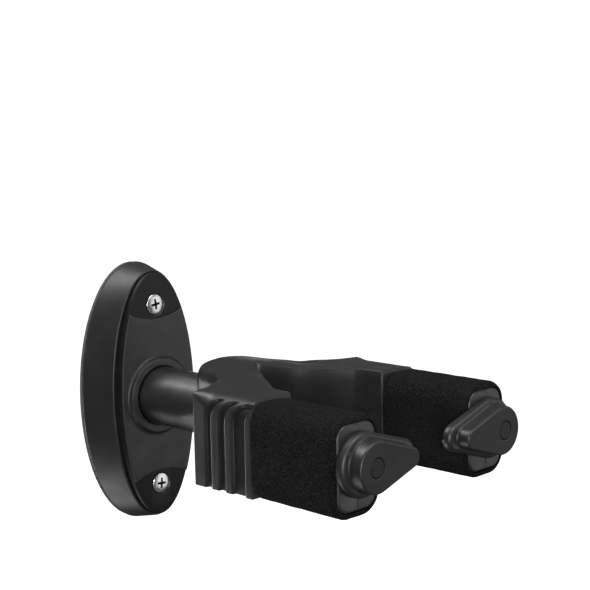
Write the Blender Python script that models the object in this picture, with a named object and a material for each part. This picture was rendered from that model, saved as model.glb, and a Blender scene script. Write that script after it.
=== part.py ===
"""Auto-latching wall hanger for one guitar: oval wall plate, tube, swivelling yoke, two latches.

World frame: the wall is the plane Y = 0, the hanger stands out along -Y, +Z is up.
The origin is the centre of the wall plate's back face. "Out" below is the distance from
the wall in millimetres, so a point at out = 60 lies at Y = -0.060.
"""
import math

import bmesh
import bpy
from mathutils import Vector

MM = 0.001
GAP = 0.3

# wall plate
PAD_T = 1.5
PLATE_W = 30.0
PLATE_H = 58.4
FACE_W = 20.2
FACE_H = 54.2
FACE_OUT = 18.0
SCREW_Z = 40.5
POCKET_R = 34.0
POCKET_Z = 68.2
# support tube and swivel
TUBE_R = 12.8
TUBE_WALL = 2.0
TUBE_END = 66.0
COLLAR_R = 16.2
COLLAR_OUT = 20.0
BOLT_R = 4.0
# yoke
YOKE_TOP = 19.6
YOKE_BOT = -17.0
ROOF = 3.0
WALL = 2.4
YOKE_FRONT = 127.8
SHOULDER = 6.7
NOTCH_R = 13.3
# arms
ARM_X = 36.5
ARM_Z = 0.8
FOAM_HW = 12.46
FOAM_HH = 18.37
CORE_HW = 9.9
CORE_HH = 15.8
ARM_START = 128.1
ARM_END = 170.1
# lift, cranks and latches
LIFT = 6.0
SHAFT_R = 3.0
SHAFT_Z = 2.0
CRANK = LIFT / 2.0
PEG_R = 1.5
PIN_X = 16.8
PIN_OUT = 87.5
LATCH_BACK = 170.7
LATCH_FACE = 180.1

COLOURS = {
    "black_plastic": ((0.022, 0.022, 0.023), 0.45, 0.0),
    "grey_plastic": ((0.055, 0.055, 0.057), 0.50, 0.0),
    "gloss_black": ((0.006, 0.006, 0.007), 0.18, 0.3),
    "foam": ((0.010, 0.010, 0.011), 0.95, 0.0),
    "rubber": ((0.03, 0.03, 0.03), 0.85, 0.0),
    "zinc_steel": ((0.72, 0.72, 0.70), 0.28, 1.0),
    "dark_steel": ((0.20, 0.20, 0.21), 0.35, 1.0),
    "acetal": ((0.60, 0.59, 0.56), 0.55, 0.0),
}


def clear_scene():
    for obj in list(bpy.data.objects):
        bpy.data.objects.remove(obj, do_unlink=True)


def material(name, kind):
    mat = bpy.data.materials.new(name)
    mat.use_nodes = True
    colour, rough, metal = COLOURS[kind]
    shader = mat.node_tree.nodes["Principled BSDF"]
    shader.inputs["Base Color"].default_value = (*colour, 1.0)
    shader.inputs["Roughness"].default_value = rough
    shader.inputs["Metallic"].default_value = metal
    return mat


def finish(name, bm, kind, smooth=35.0):
    bmesh.ops.remove_doubles(bm, verts=bm.verts, dist=1e-7)
    bmesh.ops.recalc_face_normals(bm, faces=bm.faces)
    mesh = bpy.data.meshes.new(name)
    bm.to_mesh(mesh)
    bm.free()
    obj = bpy.data.objects.new(name, mesh)
    bpy.context.collection.objects.link(obj)
    if kind is not None:
        mesh.materials.append(material(name + "_mat", kind))
        mesh.shade_smooth()
        mesh.set_sharp_from_angle(angle=math.radians(smooth))
    return obj


def cutter(name, bm):
    obj = finish(name, bm, None)
    obj.hide_render = True
    obj.display_type = "WIRE"
    return obj


def boolean(obj, tool, operation="DIFFERENCE"):
    mod = obj.modifiers.new(tool.name, "BOOLEAN")
    mod.operation = operation
    mod.solver = "EXACT"
    mod.object = tool


def point(x, out, z):
    return Vector((x * MM, -out * MM, z * MM))


# rings: closed loops of the same number of points, all starting on the +X side
def oval(hw, hh, out, x=0.0, z=0.0, n=64):
    ring = []
    for i in range(n):
        a = 2.0 * math.pi * i / n
        ring.append(point(x + hw * math.cos(a), out, z + hh * math.sin(a)))
    return ring


def round_box(hw, hh, r, out, x=0.0, z=0.0, n=40):
    ring = []
    q = n // 4
    for k in range(4):
        sx = 1.0 if k in (0, 3) else -1.0
        sz = 1.0 if k < 2 else -1.0
        for i in range(q):
            a = math.radians(90.0 * (k + i / (q - 1)))
            px = sx * (hw - r) + r * math.cos(a)
            pz = sz * (hh - r) + r * math.sin(a)
            ring.append(point(x + px, out, z + pz))
    return ring


def teardrop(big, small, length, shift, grow, out, x, side, n=48):
    """Outline around a big circle at the pivot and a small one at the tip."""
    r0 = big + grow
    r1 = small + grow
    tip = math.acos((r0 - r1) / (length - shift))
    ring = []
    half = n // 2
    for i in range(n):
        if i < half // 2 or i >= n - half // 2:
            j = i if i < half // 2 else i - n
            a = tip * j / (half // 2)
            cx, r = length, r1
        else:
            a = tip + (2.0 * math.pi - 2.0 * tip) * (i - half // 2) / half
            cx, r = shift, r0
        px = cx + r * math.cos(a)
        ring.append(point(x + side * px, out, SHAFT_Z + r * math.sin(a)))
    return ring


def mirror_ring(hw, out, x, side, n=48, z=SHAFT_Z):
    """Circle wound and started the same way as a teardrop on the given side."""
    ring = []
    for i in range(n):
        a = 2.0 * math.pi * i / n
        ring.append(point(x + side * hw * math.cos(a), out, z + hw * math.sin(a)))
    return ring


def skin(bm, rings, closed):
    loops = [[bm.verts.new(p) for p in ring] for ring in rings]
    n = len(loops[0])
    last = len(loops) if closed else len(loops) - 1
    for k in range(last):
        a = loops[k]
        b = loops[(k + 1) % len(loops)]
        for i in range(n):
            j = (i + 1) % n
            bm.faces.new((a[i], a[j], b[j], b[i]))
    if not closed:
        bm.faces.new(loops[0])
        bm.faces.new(list(reversed(loops[-1])))


def loft(name, rings, kind, closed=False):
    bm = bmesh.new()
    skin(bm, rings, closed)
    return finish(name, bm, kind)


def turned(name, steps, kind, x=0.0, z=0.0, n=32, bore=False):
    """Body of revolution about a line along Y through (x, z); steps are (radius, out)."""
    rings = [oval(r, r, out, x, z, n) for r, out in steps]
    return loft(name, rings, kind, closed=bore)


def upright(name, steps, kind, x, out, n=24):
    """Body of revolution about a vertical line; steps are (radius, z)."""
    rings = []
    for r, z in steps:
        ring = []
        for i in range(n):
            a = 2.0 * math.pi * i / n
            ring.append(point(x + r * math.cos(a), out + r * math.sin(a), z))
        rings.append(ring)
    return loft(name, rings, kind)


def plan_block(bm, outline, levels):
    """Stack copies of a plan outline; levels are (z, inset)."""
    rings = []
    for z, inset in levels:
        pts = inset_outline(outline, inset)
        rings.append([point(x, out, z) for x, out in pts])
    skin(bm, rings, False)


def inset_outline(outline, inset):
    """Move each point inwards along the mean of its two edge normals."""
    n = len(outline)
    area = 0.0
    for i in range(n):
        x0, y0 = outline[i]
        x1, y1 = outline[(i + 1) % n]
        area += x0 * y1 - x1 * y0
    turn = 1.0 if area > 0.0 else -1.0
    moved = []
    for i in range(n):
        px, py = outline[i - 1]
        cx, cy = outline[i]
        nx, ny = outline[(i + 1) % n]
        a = Vector((cx - px, cy - py)).normalized()
        b = Vector((nx - cx, ny - cy)).normalized()
        na = Vector((-a.y, a.x)) * turn
        nb = Vector((-b.y, b.x)) * turn
        m = (na + nb).normalized()
        reach = inset / max(m.dot(na), 0.5)
        moved.append((cx + m.x * reach, cy + m.y * reach))
    return moved


def smooth_path(points, per=4):
    """Catmull-Rom curve through the points, ends included."""
    out = []
    last = len(points) - 1
    for i in range(last):
        p0 = Vector(points[max(i - 1, 0)])
        p1 = Vector(points[i])
        p2 = Vector(points[i + 1])
        p3 = Vector(points[min(i + 2, last)])
        for k in range(per):
            t = k / per
            a = 2.0 * p1
            b = (p2 - p0) * t
            c = (2.0 * p0 - 5.0 * p1 + 4.0 * p2 - p3) * t * t
            d = (3.0 * p1 - p0 - 3.0 * p2 + p3) * t * t * t
            q = 0.5 * (a + b + c + d)
            out.append((q.x, q.y))
    out.append(tuple(points[-1]))
    return out


def yoke_outline(side=47.0, chamfer=0.9):
    """Plan of the Y-shaped yoke: neck at the tube, two shoulders, a V-shaped crotch."""
    neck = [(10.0, 60.0), (14.5, 61.2), (16.8, 64.5), (18.3, 70.0), (20.6, 76.5), (25.0, 84.0)]
    neck += [(30.8, 90.3), (37.5, 93.9), (43.0, 95.1)]
    half = [(0.0, 59.6)] + smooth_path(neck, 3)
    if chamfer > 0.0:
        half += [(side - chamfer, 95.4), (side, 95.4 + chamfer)]
        half += [(side, YOKE_FRONT - chamfer), (side - chamfer, YOKE_FRONT)]
        half += [(ARM_X, YOKE_FRONT), (26.4, YOKE_FRONT), (25.2, YOKE_FRONT - chamfer)]
    else:
        half += [(side, 95.4), (side, YOKE_FRONT), (25.0, YOKE_FRONT)]
    half.append((24.8, 119.5))
    half += smooth_path([(23.0, 115.5), (17.5, 107.8), (12.3, 99.8), (8.0, 94.0), (4.0, 87.4)], 3)
    half += [(1.2, 82.8), (0.0, 81.6)]
    other = [(-x, out) for x, out in reversed(half[1:-1])]
    return half + other


def hollow_outline():
    """Plan of the space inside the yoke; its walls are thicker behind the grooves."""
    return inset_outline(yoke_outline(45.2, 0.0), WALL)


def wing_outline(side):
    """Plan of one fork wing, from the hub out to the crank."""
    pts = [(8.6, 69.5), (12.0, 69.5), (13.8, 74.5), (17.0, 81.0), (21.5, 87.2), (27.5, 93.2)]
    pts += [(33.5, 97.3), (38.0, 99.3), (42.2, 99.3), (42.2, 102.5), (29.0, 102.5)]
    pts += [(21.5, 97.5), (12.5, 88.5), (10.0, 82.0), (8.6, 78.0)]
    return [(side * x, out) for x, out in pts]


def cover_outline(side):
    """Plan of one bottom cover: the branch of the Y inside its walls."""
    pts = []
    for x, out in inset_outline(hollow_outline(), GAP):
        if x > 6.0 and out > 81.5:
            pts.append((side * x, out))
    return pts


def wall_plate_cover():
    rings = [oval(PLATE_W, PLATE_H, 1.8)]
    rings.append(oval(PLATE_W, PLATE_H, 3.0))
    rings.append(oval(23.4, 55.8, 14.1))
    rings.append(oval(22.8, 55.3, 14.8))
    rings.append(oval(22.2, 55.0, 14.8))
    rings.append(oval(21.6, 54.8, 14.2))
    rings.append(oval(20.7, 54.6, 17.5))
    rings.append(oval(FACE_W, FACE_H, FACE_OUT))
    rings.append(oval(18.4, 18.4, FACE_OUT))
    rings.append(oval(16.9, 16.9, FACE_OUT + 0.6))
    rings.append(oval(COLLAR_R, COLLAR_R, FACE_OUT + 1.6))
    rings.append(oval(15.8, 15.8, COLLAR_OUT))
    rings.append(oval(13.1, 13.1, COLLAR_OUT))
    rings.append(oval(13.1, 13.1, 13.0))
    rings.append(oval(20.6, 51.6, 12.2))
    rings.append(oval(26.6, 55.8, 1.8))
    cover = loft("wall_plate_cover", rings, "grey_plastic", closed=True)
    posts = bmesh.new()
    pockets = bmesh.new()
    holes = bmesh.new()
    for side in (1.0, -1.0):
        z = side * SCREW_Z
        skin(posts, [oval(6.0, 6.0, 5.1, 0.0, z, 24), oval(6.0, 6.0, 15.0, 0.0, z, 24)], False)
        zc = side * POCKET_Z
        low = oval(POCKET_R, POCKET_R, 17.2, 0.0, zc, 96)
        high = oval(POCKET_R, POCKET_R, 19.5, 0.0, zc, 96)
        skin(pockets, [low, high], False)
        steps = [(2.7, 1.0), (2.7, 14.6), (4.9, 15.8), (4.9, 19.0)]
        skin(holes, [oval(r, r, out, 0.0, z, 24) for r, out in steps], False)
    boolean(cover, cutter("cut_screw_posts", posts), "UNION")
    boolean(cover, cutter("cut_pockets", pockets))
    boolean(cover, cutter("cut_screw_holes", holes))


def plate_with_holes(name, hw, hh, low, high, kind, hole_r, n=48):
    """Oval plate from low to high with two screw holes, filled face by face."""
    bm = bmesh.new()
    tops = []
    for out in (low, high):
        edges = []
        loops = []
        for ring in (
            oval(hw, hh, out, 0.0, 0.0, n),
            oval(hole_r, hole_r, out, 0.0, SCREW_Z, 16),
            oval(hole_r, hole_r, out, 0.0, -SCREW_Z, 16),
        ):
            verts = [bm.verts.new(p) for p in ring]
            loops.append(verts)
            for i in range(len(verts)):
                edges.append(bm.edges.new((verts[i], verts[(i + 1) % len(verts)])))
        bmesh.ops.triangle_fill(bm, use_beauty=True, use_dissolve=False, edges=edges)
        tops.append(loops)
    for a, b in zip(tops[0], tops[1]):
        for i in range(len(a)):
            j = (i + 1) % len(a)
            bm.faces.new((a[i], a[j], b[j], b[i]))
    finish(name, bm, kind)


def wall_screw(name, z):
    steps = [(0.8, 0.2), (2.2, 2.6), (2.2, 15.0), (4.5, 16.4), (4.5, 16.9), (3.7, 17.5), (2.2, 17.8)]
    screw = turned(name, steps, "zinc_steel", 0.0, z, 24)
    cross = bmesh.new()
    pts = [(2.6, -0.45), (2.6, 0.45), (0.45, 0.45), (0.45, 2.6), (-0.45, 2.6), (-0.45, 0.45)]
    pts += [(-2.6, 0.45), (-2.6, -0.45), (-0.45, -0.45), (-0.45, -2.6), (0.45, -2.6), (0.45, -0.45)]
    rings = []
    for out in (16.4, 19.0):
        rings.append([point(px, out, z + pz) for px, pz in pts])
    skin(cross, rings, False)
    boolean(screw, cutter("cut_" + name, cross))


def tube_and_swivel():
    inner = TUBE_R - TUBE_WALL
    steps = [(TUBE_R, 5.1), (TUBE_R, TUBE_END - 0.6), (TUBE_R - 0.6, TUBE_END)]
    steps += [(inner, TUBE_END), (inner, 5.1)]
    turned("support_tube", steps, "gloss_black", n=64, bore=True)
    plug = inner - GAP
    steps = [(plug, 54.0), (plug, TUBE_END - GAP), (BOLT_R + GAP, TUBE_END - GAP), (BOLT_R + GAP, 54.0)]
    turned("tube_end_plug", steps, "dark_steel", n=40, bore=True)
    steps = [(10.0, 66.3), (10.0, 67.3), (BOLT_R + GAP, 67.3), (BOLT_R + GAP, 66.3)]
    turned("thrust_washer", steps, "acetal", n=40, bore=True)
    bolt = turned("swivel_bolt", [(3.4, 55.0), (BOLT_R, 55.8), (BOLT_R, 73.3), (6.5, 73.3), (6.5, 77.4),
                                  (5.9, 78.0)], "dark_steel", n=32)
    socket = bmesh.new()
    skin(socket, [oval(3.0, 3.0, 75.0, 0.0, 0.0, 6), oval(3.0, 3.0, 79.0, 0.0, 0.0, 6)], False)
    boolean(bolt, cutter("cut_bolt_socket", socket))


def lift_fork():
    """Hub on the swivel bolt with two wings whose forks hold the crank pegs."""
    hub_steps = [(11.0, 67.6), (11.0, 78.3), (7.2, 78.3), (7.2, 73.0), (BOLT_R + GAP, 73.0)]
    hub_steps += [(BOLT_R + GAP, 67.6)]
    hub = turned("lift_fork", hub_steps, "acetal", n=40, bore=True)
    pad = bmesh.new()
    ring = [(5.0, 9.4), (5.0, 16.3), (-5.0, 16.3), (-5.0, 9.4)]
    skin(pad, [[point(x, out, z) for x, z in ring] for out in (67.9, 75.3)], False)
    boolean(hub, cutter("cut_fork_pad", pad), "UNION")
    wings = bmesh.new()
    tabs = bmesh.new()
    slots = bmesh.new()
    for side in (1.0, -1.0):
        plan_block(wings, wing_outline(side), [(1.8, 0.0), (8.2, 0.0)])
        box = [(side * 29.6, 0.0), (side * 42.5, 0.0), (side * 42.5, 10.0), (side * 29.6, 10.0)]
        skin(tabs, [[point(x, out, z) for x, z in box] for out in (99.6, 102.2)], False)
        zs = SHAFT_Z + CRANK
        lo = zs - PEG_R - GAP
        hi = zs + PEG_R + GAP
        box = [(side * 36.4, lo), (side * 44.0, lo), (side * 44.0, hi), (side * 36.4, hi)]
        skin(slots, [[point(x, out, z) for x, z in box] for out in (98.0, 104.0)], False)
        ring = [[], []]
        for i in range(20):
            a = 2.0 * math.pi * i / 20
            for k in range(2):
                z = (-1.0, 11.0)[k]
                px = side * PIN_X + 2.3 * math.cos(a)
                ring[k].append(point(px, PIN_OUT + 2.3 * math.sin(a), z))
        skin(slots, ring, False)
    boolean(hub, cutter("cut_fork_wings", wings), "UNION")
    boolean(hub, cutter("cut_fork_tabs", tabs), "UNION")
    boolean(hub, cutter("cut_fork_slots", slots))


def yoke_level(outline, fall):
    """Outline where the top edge has curved in by the fraction fall of its radius."""
    pts = []
    for x, out in inset_outline(outline, 0.8 * fall):
        fade = min(max((90.0 - out) / 18.0, 0.0), 1.0)
        x *= 1.0 - 0.24 * fall * fade
        limit = 47.0 - SHOULDER * fall
        pts.append((min(max(x, -limit), limit), out))
    return pts


def swept_groove(bm, side, near, far):
    """Cutter for one side groove: upright, then curving forward over the rounded shoulder."""
    rings = []
    for z, depth in ((-20.0, 1.5), (9.0, 1.5), (11.0, 1.5), (13.0, 1.5), (14.5, 1.5),
                     (15.8, 1.4), (17.0, 1.1), (17.8, 0.6), (18.15, -0.4)):
        lean = math.asin(max(0.0, z - YOKE_TOP + SHOULDER) / SHOULDER)
        run = min(z, YOKE_TOP - SHOULDER) + SHOULDER * lean
        climb = min(max(0.0, (run - 9.0) / 10.0), 1.0)
        lead = 10.0 * (1.0 - math.sqrt(1.0 - climb * climb))
        inner = side * (47.0 - SHOULDER * (1.0 - math.cos(lean)) - depth)
        outer = side * 50.0
        box = [(inner, near + lead), (outer, near + lead), (outer, far + lead), (inner, far + lead)]
        rings.append([point(x, out, z) for x, out in box])
    skin(bm, rings, False)


def yoke_body(holes):
    outline = yoke_outline()
    sections = [(YOKE_BOT, inset_outline(outline, 0.5)), (YOKE_BOT + 0.5, outline)]
    for k in range(6):
        a = math.radians(90.0 * k / 5)
        up = YOKE_TOP - SHOULDER + SHOULDER * math.sin(a)
        sections.append((up, yoke_level(outline, 1.0 - math.cos(a))))
    bm = bmesh.new()
    skin(bm, [[point(x, out, z) for x, out in pts] for z, pts in sections], False)
    body = finish("yoke_body", bm, "grey_plastic")
    hollow = bmesh.new()
    plan_block(hollow, hollow_outline(), [(YOKE_BOT - 4.0, 0.0), (YOKE_TOP - ROOF - 2.0, 0.0),
                                          (YOKE_TOP - ROOF, 2.0)])
    notch = bmesh.new()
    ring = []
    for i in range(17):
        a = math.pi * i / 16
        ring.append((NOTCH_R * math.cos(a), NOTCH_R * math.sin(a)))
    ring += [(-NOTCH_R, YOKE_BOT - 4.0), (NOTCH_R, YOKE_BOT - 4.0)]
    skin(notch, [[point(x, out, z) for x, z in ring] for out in (56.0, 79.2)], False)
    grooves = bmesh.new()
    posts = bmesh.new()
    post_holes = bmesh.new()
    for side in (1.0, -1.0):
        for near, far in ((101.5, 105.8), (108.8, 113.6), (116.3, 124.5)):
            swept_groove(grooves, side, near, far)
        rings = []
        bores = []
        for z, r in ((-14.6, 2.9), (17.6, 2.9)):
            rings.append(disc(side * 27.0, 110.5, r, z, 20))
        for z, r in ((-16.0, 1.5), (-4.0, 1.5)):
            bores.append(disc(side * 27.0, 110.5, r, z, 16))
        skin(posts, rings, False)
        skin(post_holes, bores, False)
    boolean(body, cutter("cut_yoke_hollow", hollow))
    boolean(body, cutter("cut_yoke_notch", notch))
    boolean(body, cutter("cut_yoke_grooves", grooves))
    boolean(body, cutter("cut_yoke_posts", posts), "UNION")
    boolean(body, cutter("cut_yoke_post_holes", post_holes))
    boolean(body, holes)


def disc(x, out, r, z, n):
    ring = []
    for i in range(n):
        a = 2.0 * math.pi * i / n
        ring.append(point(x + r * math.cos(a), out + r * math.sin(a), z))
    return ring


def front_holes():
    """Shaft bores and arm screw holes through the front walls of the yoke."""
    bm = bmesh.new()
    for side in (1.0, -1.0):
        x = side * ARM_X
        skin(bm, [oval(4.9, 4.9, out, x, SHAFT_Z, 24) for out in (121.0, 128.0)], False)
        for dx in (-3.2, 3.2):
            rings = [oval(1.7, 1.7, out, x + dx, -7.0, 16) for out in (121.0, 131.6)]
            skin(bm, rings, False)
    return cutter("cut_front_holes", bm)


def bottom_cover(name, side):
    bm = bmesh.new()
    plan_block(bm, cover_outline(side), [(YOKE_BOT, 0.0), (YOKE_BOT + 2.0, 0.0)])
    cover = finish(name, bm, "grey_plastic")
    hole = bmesh.new()
    skin(hole, [disc(side * 27.0, 110.5, 1.7, -19.0, 16), disc(side * 27.0, 110.5, 1.7, -14.0, 16)], False)
    boolean(cover, cutter("cut_" + name, hole))


def spring(name, x, out, low, high, r=3.3, wire=0.45, turns=4.5):
    """Round wire coiled about a vertical guide pin."""
    bm = bmesh.new()
    steps = int(turns * 16)
    rings = []
    for i in range(steps + 1):
        t = i / steps
        a = 2.0 * math.pi * turns * t
        z = low + wire + (high - low - 2.0 * wire) * t
        ring = []
        for k in range(6):
            b = 2.0 * math.pi * k / 6
            rr = r + wire * math.cos(b)
            ring.append(point(x + rr * math.cos(a), out + rr * math.sin(a), z + wire * math.sin(b)))
        rings.append(ring)
    skin(bm, rings, False)
    finish(name, bm, "zinc_steel", 60.0)


def arm(label, side, holes):
    x = side * ARM_X
    tool = bmesh.new()
    rings = [round_box(3.5, 3.5, 3.499, 126.0, x, SHAFT_Z), round_box(3.5, 3.5, 3.499, 132.1, x, SHAFT_Z)]
    rings.append(round_box(CORE_HW - 2.4, CORE_HH - 2.4, 3.0, 132.1, x, ARM_Z))
    rings.append(round_box(CORE_HW - 2.4, CORE_HH - 2.4, 3.0, 167.6, x, ARM_Z))
    rings.append(round_box(4.9, 4.9, 4.899, 167.6, x, SHAFT_Z))
    rings.append(round_box(4.9, 4.9, 4.899, 172.0, x, SHAFT_Z))
    skin(tool, rings, False)
    hollow = cutter("cut_arm_hollow_" + label, tool)
    for part, away in (("outer", 1.0), ("inner", -1.0)):
        sign = away * side
        bm = bmesh.new()
        rings = []
        for out, inset in ((ARM_START, 0.0), (ARM_END - 0.8, 0.0), (ARM_END, 0.8)):
            hw = CORE_HW - inset
            hh = CORE_HH - inset
            r = 5.0 - inset
            pts = [(0.15, -hh)]
            for i in range(7):
                a = math.radians(-90.0 + 90.0 * i / 6)
                pts.append((hw - r + r * math.cos(a), -hh + r + r * math.sin(a)))
            for i in range(7):
                a = math.radians(90.0 * i / 6)
                pts.append((hw - r + r * math.cos(a), hh - r + r * math.sin(a)))
            pts.append((0.15, hh))
            rings.append([point(x + sign * px, out, ARM_Z + pz) for px, pz in pts])
        skin(bm, rings, False)
        shell = finish("arm_shell_" + part + "_" + label, bm, "grey_plastic")
        boolean(shell, hollow)
        boolean(shell, holes)
        px = x + sign * 3.2
        steps = [(1.1, 131.3), (1.4, 130.6), (1.4, 125.1), (2.5, 125.1), (2.5, 123.7), (1.9, 123.2)]
        turned("arm_screw_" + part + "_" + label, steps, "zinc_steel", px, -7.0, 16)
    foam = [(1.0, 128.4), (0.0, 129.4), (0.0, 168.8), (0.5, 169.8), (1.4, 170.2)]
    rings = []
    for inset, out in foam:
        rings.append(round_box(FOAM_HW - inset, FOAM_HH - inset, 9.0 - inset, out, x, ARM_Z))
    for out in (170.2, 128.4):
        rings.append(round_box(CORE_HW + GAP, CORE_HH + GAP, 5.3, out, x, ARM_Z))
    loft("foam_sleeve_" + label, rings, "foam", closed=True)
    for place, near, far in (("rear", 124.8, 127.8), ("front", 167.9, 170.0)):
        steps = [(4.6, near), (4.6, far), (SHAFT_R + GAP, far), (SHAFT_R + GAP, near)]
        turned("shaft_bush_" + place + "_" + label, steps, "acetal", x, SHAFT_Z, 28, True)


def latch(label, side):
    x = side * ARM_X
    inward = -side
    rings = []

    def hole(r, out):
        rings.append(mirror_ring(r, out, x, inward))

    def base(grow, out):
        rings.append(teardrop(11.8, 5.4, 21.5, 0.0, grow, out, x, inward))

    def face(grow, out):
        rings.append(teardrop(9.5, 3.9, 18.7, 0.8, grow, out, x, inward))

    hole(SHAFT_R + GAP, LATCH_BACK)
    base(-0.8, LATCH_BACK)
    base(0.0, 171.5)
    base(0.0, 173.8)
    base(-1.0, 174.6)
    face(0.4, 174.9)
    face(0.0, 176.0)
    face(0.0, LATCH_FACE - 0.9)
    face(-0.9, LATCH_FACE)
    hole(3.8, LATCH_FACE)
    hole(3.8, 176.6)
    hole(1.8, 176.6)
    hole(1.8, 175.2)
    hole(SHAFT_R + GAP, 175.2)
    lever = loft("latch_lever_" + label, rings, "grey_plastic", closed=True)
    steps = [(SHAFT_R, 106.6), (SHAFT_R, 174.9), (1.7, 174.9), (1.7, 166.5)]
    turned("latch_shaft_" + label, steps, "zinc_steel", x, SHAFT_Z, 28)
    peg_x = x + side * CRANK
    peg_z = SHAFT_Z + CRANK
    rings = [oval(PEG_R, PEG_R, 98.9, peg_x, peg_z, 32), oval(PEG_R, PEG_R, 103.3, peg_x, peg_z, 32)]
    rings.append(oval(6.2, 6.2, 103.3, x, SHAFT_Z, 32))
    rings.append(oval(6.2, 6.2, 106.3, x, SHAFT_Z, 32))
    loft("latch_crank_" + label, rings, "acetal")
    steps = [(1.0, 168.0), (1.4, 168.6), (1.4, 176.9), (3.1, 176.9), (3.1, 178.0), (2.4, 178.3)]
    turned("latch_screw_" + label, steps, "zinc_steel", x, SHAFT_Z, 20)
    steps = [(3.5, 178.6), (3.5, 179.6), (3.2, 179.9)]
    turned("latch_plug_" + label, steps, "black_plastic", x, SHAFT_Z, 28)
    return lever


def main():
    clear_scene()
    wall_plate_cover()
    plate_with_holes("wall_pad", PLATE_W, PLATE_H, 0.0, PAD_T, "rubber", 2.7, 64)
    plate_with_holes("anchor_plate", 24.4, 53.8, 1.8, 4.8, "dark_steel", 2.7)
    wall_screw("wall_screw_upper", SCREW_Z)
    wall_screw("wall_screw_lower", -SCREW_Z)
    tube_and_swivel()
    lift_fork()
    holes = front_holes()
    yoke_body(holes)
    for label, side in (("left", -1.0), ("right", 1.0)):
        bottom_cover("bottom_cover_" + label, side)
        steps = [(1.1, -6.0), (1.1, YOKE_BOT - 0.3), (2.6, YOKE_BOT - 0.3), (2.1, YOKE_BOT - 1.5)]
        upright("cover_screw_" + label, steps, "zinc_steel", side * 27.0, 110.5, 16)
        steps = [(3.2, YOKE_BOT + 2.3), (3.2, 1.8 - LIFT - GAP), (2.0, 1.8 - LIFT - GAP), (2.0, 16.3)]
        upright("guide_pin_" + label, steps, "zinc_steel", side * PIN_X, PIN_OUT)
        spring("return_spring_" + label, side * PIN_X, PIN_OUT, 8.5, 16.3)
        arm(label, side, holes)
        latch(label, side)


main()
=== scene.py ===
import math

import bmesh
import bpy
from mathutils import Matrix, Vector, geometry, noise


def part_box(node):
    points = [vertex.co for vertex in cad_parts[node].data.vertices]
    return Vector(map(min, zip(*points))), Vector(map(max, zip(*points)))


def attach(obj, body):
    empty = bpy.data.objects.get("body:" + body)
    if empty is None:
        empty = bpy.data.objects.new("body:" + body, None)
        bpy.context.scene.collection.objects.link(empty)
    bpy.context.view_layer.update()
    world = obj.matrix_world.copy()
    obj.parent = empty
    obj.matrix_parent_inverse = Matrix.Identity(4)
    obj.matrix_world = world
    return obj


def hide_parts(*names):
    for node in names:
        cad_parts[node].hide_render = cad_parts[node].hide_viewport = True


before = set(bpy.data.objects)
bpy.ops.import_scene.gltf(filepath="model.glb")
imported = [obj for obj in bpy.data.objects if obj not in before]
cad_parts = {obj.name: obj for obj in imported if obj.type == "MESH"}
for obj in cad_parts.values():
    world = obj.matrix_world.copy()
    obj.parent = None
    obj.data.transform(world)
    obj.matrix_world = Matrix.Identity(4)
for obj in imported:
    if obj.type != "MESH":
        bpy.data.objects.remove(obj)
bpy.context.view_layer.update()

# Guitar wall hanger. The wall is Y = 0 and the hanger stands out along -Y. As in the CAD,
# "out" is the distance from the wall; lengths below are in millimetres and MM makes metres.
MM = 0.001
LEFT_RIGHT = (("left", -1.0), ("right", 1.0))

# places taken from the CAD frame
tube_low, tube_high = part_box("support_tube")
TUBE_R = tube_high.x / MM
TUBE_END = -tube_low.y / MM
yoke_low, yoke_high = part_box("yoke_body")
YOKE_SIDE = yoke_high.x / MM
YOKE_TOP = yoke_high.z / MM
YOKE_BOT = yoke_low.z / MM
YOKE_FRONT = -yoke_low.y / MM
foam_low, foam_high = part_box("foam_sleeve_right")
ARM_X = (foam_low.x + foam_high.x) / 2.0 / MM
ARM_Z = (foam_low.z + foam_high.z) / 2.0 / MM
FOAM_HW = (foam_high.x - foam_low.x) / 2.0 / MM
FOAM_HH = (foam_high.z - foam_low.z) / 2.0 / MM
FOAM_START = -foam_high.y / MM
ARM_END = -foam_low.y / MM
plug_low, plug_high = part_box("latch_plug_right")
SHAFT_Z = (plug_low.z + plug_high.z) / 2.0 / MM
lever_low, lever_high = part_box("latch_lever_right")
LATCH_BACK = -lever_high.y / MM
LATCH_FACE = -lever_low.y / MM
screw_low, screw_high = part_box("wall_screw_upper")
SCREW_Z = (screw_low.z + screw_high.z) / 2.0 / MM
COLLAR_OUT = -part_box("wall_plate_cover")[0].y / MM

# wall plate: oval raised panel, lower screw bays cut into it by two big circles, and a collar
FACE_HW = 20.3
FACE_HH = 54.4
FACE_OUT = 18.0
PANEL_BACK = 16.4
POCKET_OUT = 17.1
POCKET_R = 34.0
POCKET_Z = 68.2
SHELL_BORE_R = 13.1
PANEL_BORE_R = 13.15
COLLAR_FOOT_R = 18.8
SCREW_HOLE_R = 2.6
SCREW_SEAT_R = 4.95

# wall screw
SHANK_R = 1.9
HEAD_R = 4.5
HEAD_RIM = 16.75
HEAD_TOP = 17.6
RECESS_DEPTH = 2.2
RECESS_REACH = 2.9

# yoke: ribbed sides, rounded shoulder, hollow inside, open underneath at the neck
SIDE_START = 95.4
SHOULDER = 6.7
SIDE_EDGE_R = 2.6
NECK_EDGE_R = 5.0
UPRIGHT = 9.0
ROUND_STEPS = 30
GROOVES = ((101.5, 105.8), (108.8, 113.6), (116.3, 124.5))
GROOVE_DEPTH = 1.6
GROOVE_END = 18.9
CROTCH = 81.8
SHELL_WALL = 2.4
HOLLOW_SIDE = 42.8
NOTCH_R = 13.3
NOTCH = (56.0, 79.2)
YOKE_SHARP = 50.0

# arms: core in two half shells, foam round it
CORE_HW = 9.9
CORE_HH = 15.8
CORE_R = 5.2
CORE_BACK = 128.1
CORE_GAP = 0.3
FOAM_R = 9.0
CORE_SHARP = 40.0

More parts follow.
